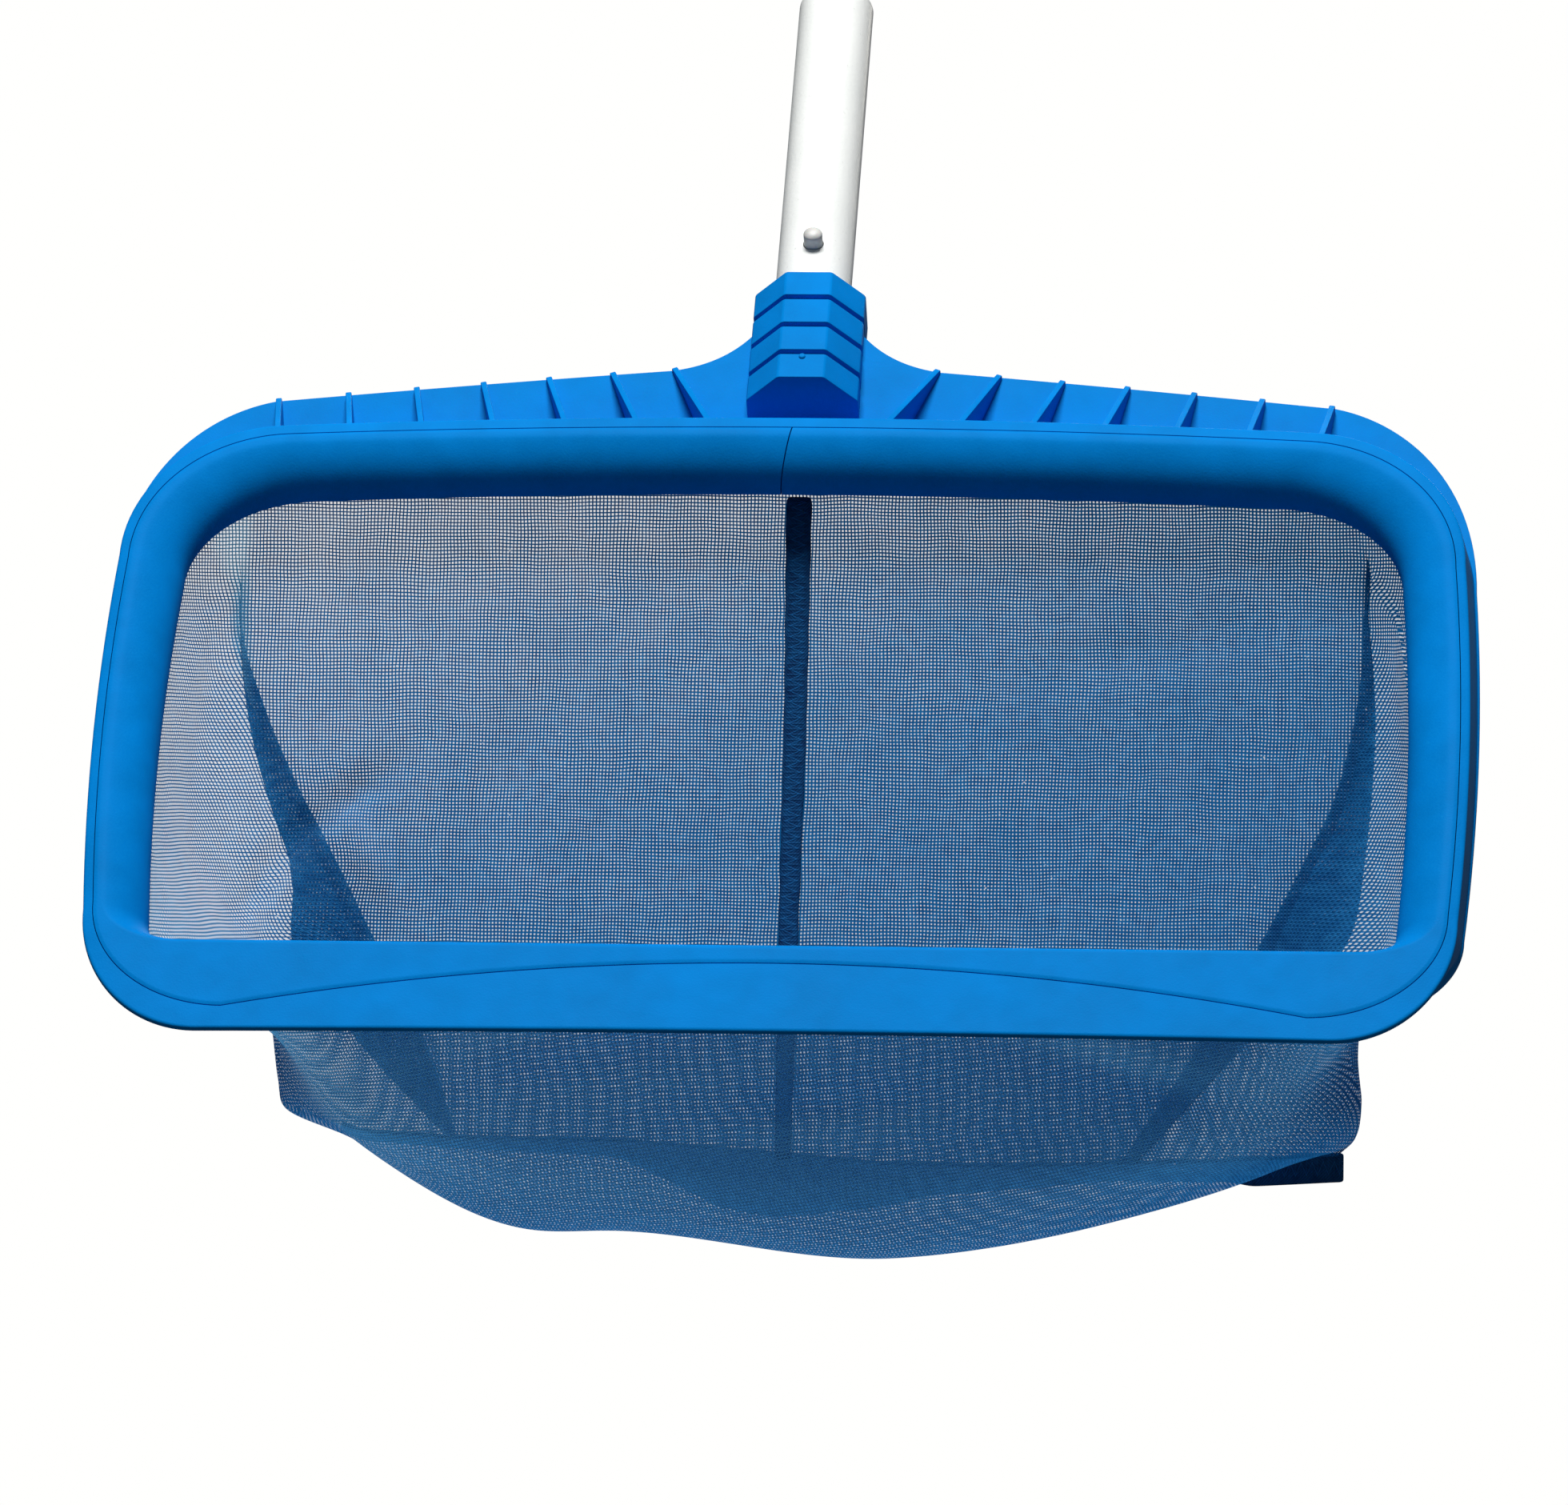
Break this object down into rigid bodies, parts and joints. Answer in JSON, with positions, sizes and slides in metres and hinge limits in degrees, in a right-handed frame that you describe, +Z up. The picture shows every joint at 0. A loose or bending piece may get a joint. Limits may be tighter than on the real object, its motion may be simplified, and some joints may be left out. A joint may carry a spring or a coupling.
{
  "type": "pool leaf skimmer net",
  "caption": "Pool leaf skimmer head: two-piece moulded frame with a flat scoop lip clamping a deep fine-mesh bag, on a tube handle with a sprung button clip.",
  "frame": {"origin": "centre of the collar's top face, where the pole's end seats round the handle tube", "axes": "+Z is up with the bag hanging along -Z; +X is across the mouth; the mouth faces -Y and leans back 35 degrees, and the handle rises back 44 degrees from vertical"},
  "size_m": [0.4498, 0.3096, 0.4186],
  "materials": {
    "blue_plastic": "satin moulded polypropylene with a fine mould texture",
    "white_coated_tube": "white powder coat on aluminium tube",
    "spring_steel": "bright stainless spring strip",
    "button_nylon": "smooth pale grey nylon",
    "screw_steel": "stainless pan-head self-tapping screws",
    "bag_mesh": "knitted polyester mesh, about 1.15 mm pitch, see-through",
    "seam_tape": "folded and overlocked blue mesh binding",
    "hem_cord": "braided polyester cord"
  },
  "bodies": {
    "head": {"rear_frame": "blue_plastic", "front_bezel": "blue_plastic", "handle_tube": "white_coated_tube", "clip_spring": "spring_steel", "mesh_bag": "bag_mesh", "back_seam_tape": "seam_tape", "bottom_seam_tape": "seam_tape", "bag_hem": "seam_tape", "hem_cord": "hem_cord", "handle_screw_1": "screw_steel", "handle_screw_2": "screw_steel", "bezel_screw_01": "screw_steel", "bezel_screw_02": "screw_steel", "bezel_screw_03": "screw_steel", "bezel_screw_04": "screw_steel", "bezel_screw_05": "screw_steel", "bezel_screw_06": "screw_steel", "bezel_screw_07": "screw_steel", "bezel_screw_08": "screw_steel", "bezel_screw_09": "screw_steel", "bezel_screw_10": "screw_steel", "bezel_screw_11": "screw_steel", "bezel_screw_12": "screw_steel"},
    "front_button": {"clip_button_front": "button_nylon"},
    "rear_button": {"clip_button_rear": "button_nylon"}
  },
  "joints": [
    {"name": "front_button_press", "type": "slide", "parent": "head", "child": "front_button", "axis": [0, 0.7193, -0.6947], "range_m": [0, 0.005], "stiffness_N_per_m": 3000, "springref_m": -0.002, "deforming": ["clip_spring"]},
    {"name": "rear_button_press", "type": "slide", "parent": "head", "child": "rear_button", "axis": [0, -0.7193, 0.6947], "range_m": [0, 0.005], "stiffness_N_per_m": 3000, "springref_m": -0.002, "deforming": ["clip_spring"]}
  ]
}
